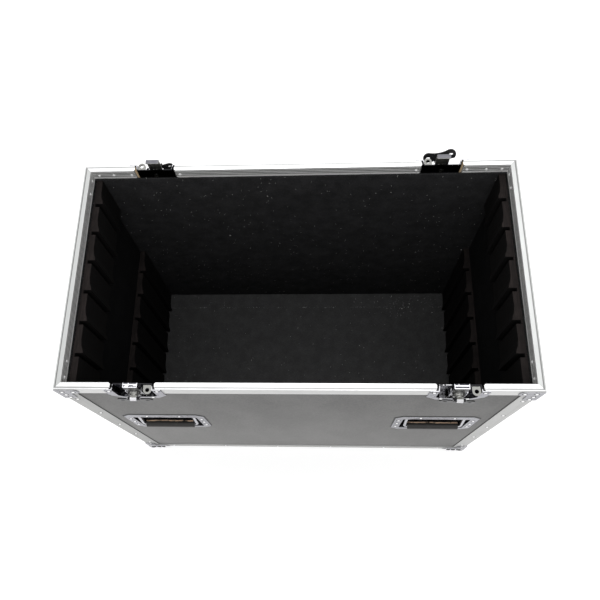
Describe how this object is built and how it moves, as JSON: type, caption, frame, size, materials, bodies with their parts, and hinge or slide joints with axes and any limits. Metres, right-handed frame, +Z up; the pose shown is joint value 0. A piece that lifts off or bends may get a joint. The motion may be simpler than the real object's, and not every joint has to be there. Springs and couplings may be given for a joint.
{
  "type": "flight case",
  "caption": "Open-topped flight case base with laminated panels, aluminium edging, butterfly latches, recessed handles and slotted divider combs.",
  "frame": {"origin": "centre of the case's footprint, at the floor", "axes": "+X along the case's width to the right seen from the front, -Y towards the front with its handles, +Z up"},
  "size_m": [0.813, 0.4671, 0.6592],
  "materials": {
    "laminate": "fine-grained grey laminate on plywood",
    "carpet": "black needle-felt carpet",
    "floor_mat": "charcoal short-pile mat",
    "comb": "black-stained board, matt",
    "rim": "mill-finish extrusion, satin",
    "angle": "mill-finish extrusion, satin",
    "corner_plate": "bright plated steel",
    "dish": "bright plated pressed steel",
    "latch_steel": "plated steel, slightly dull",
    "wing_black": "black coated steel, semi-gloss",
    "bail": "bright plated rod",
    "grip": "black rubber, satin",
    "rivet": "polished rivet heads"
  },
  "bodies": {
    "case": {"panel_front": "laminate", "panel_back": "laminate", "panel_left": "laminate", "panel_right": "laminate", "panel_bottom": "laminate", "lining_front": "carpet", "lining_back": "carpet", "lining_left": "carpet", "lining_right": "carpet", "floor_mat": "floor_mat", "comb_upper_left": "comb", "comb_upper_right": "comb", "comb_lower_left": "comb", "comb_lower_right": "comb", "rim_front": "rim", "rim_back": "rim", "rim_left": "rim", "rim_right": "rim", "corner_angle_front_left": "angle", "corner_angle_front_right": "angle", "corner_angle_back_left": "angle", "corner_angle_back_right": "angle", "bottom_angle_front": "angle", "bottom_angle_back": "angle", "bottom_angle_left": "angle", "bottom_angle_right": "angle", "ball_corner_front_left": "corner_plate", "ball_corner_front_right": "corner_plate", "ball_corner_back_left": "corner_plate", "ball_corner_back_right": "corner_plate", "corner_braces": "corner_plate", "latch_dish_front_left": "dish", "latch_dish_front_right": "dish", "latch_dish_back_left": "dish", "latch_dish_back_right": "dish", "handle_dish_front_left": "dish", "handle_dish_front_right": "dish", "handle_dish_back_left": "dish", "handle_dish_back_right": "dish", "rivets": "rivet"},
    "hub_front_left": {"latch_hub_front_left": "latch_steel"},
    "wing_front_left": {"latch_wing_front_left": "wing_black"},
    "arm_front_left": {"hook_arm_front_left": "latch_steel"},
    "bail_front_left": {"handle_bail_front_left": "bail", "handle_grip_front_left": "grip"},
    "hub_front_right": {"latch_hub_front_right": "latch_steel"},
    "wing_front_right": {"latch_wing_front_right": "wing_black"},
    "arm_front_right": {"hook_arm_front_right": "latch_steel"},
    "bail_front_right": {"handle_bail_front_right": "bail", "handle_grip_front_right": "grip"},
    "hub_back_left": {"latch_hub_back_left": "latch_steel"},
    "wing_back_left": {"latch_wing_back_left": "wing_black"},
    "arm_back_left": {"hook_arm_back_left": "latch_steel"},
    "bail_back_left": {"handle_bail_back_left": "bail", "handle_grip_back_left": "grip"},
    "hub_back_right": {"latch_hub_back_right": "latch_steel"},
    "wing_back_right": {"latch_wing_back_right": "wing_black"},
    "arm_back_right": {"hook_arm_back_right": "latch_steel"},
    "bail_back_right": {"handle_bail_back_right": "bail", "handle_grip_back_right": "grip"}
  },
  "joints": [
    {"name": "latch_turn_front_left", "type": "hinge", "parent": "case", "child": "hub_front_left", "pos_m": [-0.267, -0.226, 0.6225], "axis": [0, -1, 0], "range_deg": [-180, 0]},
    {"name": "wing_fold_front_left", "type": "hinge", "parent": "hub_front_left", "child": "wing_front_left", "pos_m": [-0.267, -0.226, 0.6225], "axis": [1, 0, 0], "range_deg": [-180, 0]},
    {"name": "hook_slide_front_left", "type": "slide", "parent": "case", "child": "arm_front_left", "axis": [0, 0, 1], "range_m": [-0.00001, 0.00801]},
    {"name": "handle_swing_front_left", "type": "hinge", "parent": "case", "child": "bail_front_left", "pos_m": [-0.27, -0.2095, 0.39], "axis": [-1, 0, 0], "range_deg": [0, 90]},
    {"name": "latch_turn_front_right", "type": "hinge", "parent": "case", "child": "hub_front_right", "pos_m": [0.267, -0.226, 0.6225], "axis": [0, -1, 0], "range_deg": [-170, 10]},
    {"name": "wing_fold_front_right", "type": "hinge", "parent": "hub_front_right", "child": "wing_front_right", "pos_m": [0.267, -0.226, 0.6225], "axis": [0.9848, 0, -0.1736], "range_deg": [-180, 0]},
    {"name": "hook_slide_front_right", "type": "slide", "parent": "case", "child": "arm_front_right", "axis": [0, 0, 1], "range_m": [-0.00045, 0.00757]},
    {"name": "handle_swing_front_right", "type": "hinge", "parent": "case", "child": "bail_front_right", "pos_m": [0.27, -0.2095, 0.39], "axis": [-1, 0, 0], "range_deg": [0, 90]},
    {"name": "latch_turn_back_left", "type": "hinge", "parent": "case", "child": "hub_back_left", "pos_m": [-0.267, 0.226, 0.6225], "axis": [0, -1, 0], "range_deg": [-20, 160]},
    {"name": "wing_fold_back_left", "type": "hinge", "parent": "hub_back_left", "child": "wing_back_left", "pos_m": [-0.267, 0.226, 0.6225], "axis": [0.9397, 0, 0.342], "range_deg": [0, 180]},
    {"name": "hook_slide_back_left", "type": "slide", "parent": "case", "child": "arm_back_left", "axis": [0, 0, 1], "range_m": [-0.00712, 0.0009]},
    {"name": "handle_swing_back_left", "type": "hinge", "parent": "case", "child": "bail_back_left", "pos_m": [-0.27, 0.2095, 0.39], "axis": [1, 0, 0], "range_deg": [0, 90]},
    {"name": "latch_turn_back_right", "type": "hinge", "parent": "case", "child": "hub_back_right", "pos_m": [0.267, 0.226, 0.6225], "axis": [0, -1, 0], "range_deg": [-17, 163]},
    {"name": "wing_fold_back_right", "type": "hinge", "parent": "hub_back_right", "child": "wing_back_right", "pos_m": [0.267, 0.226, 0.6225], "axis": [0.9563, 0, 0.2924], "range_deg": [-150, 30]},
    {"name": "hook_slide_back_right", "type": "slide", "parent": "case", "child": "arm_back_right", "axis": [0, 0, 1], "range_m": [-0.00725, 0.00077]},
    {"name": "handle_swing_back_right", "type": "hinge", "parent": "case", "child": "bail_back_right", "pos_m": [0.27, 0.2095, 0.39], "axis": [1, 0, 0], "range_deg": [0, 90]}
  ],
  "couplings": [
    {"joint": "hook_slide_front_left", "follows": "latch_turn_front_left", "m_per_rad": -0.0025465},
    {"joint": "hook_slide_front_right", "follows": "latch_turn_front_right", "m_per_rad": -0.0025465},
    {"joint": "hook_slide_back_left", "follows": "latch_turn_back_left", "m_per_rad": -0.0025465},
    {"joint": "hook_slide_back_right", "follows": "latch_turn_back_right", "m_per_rad": -0.0025465}
  ]
}
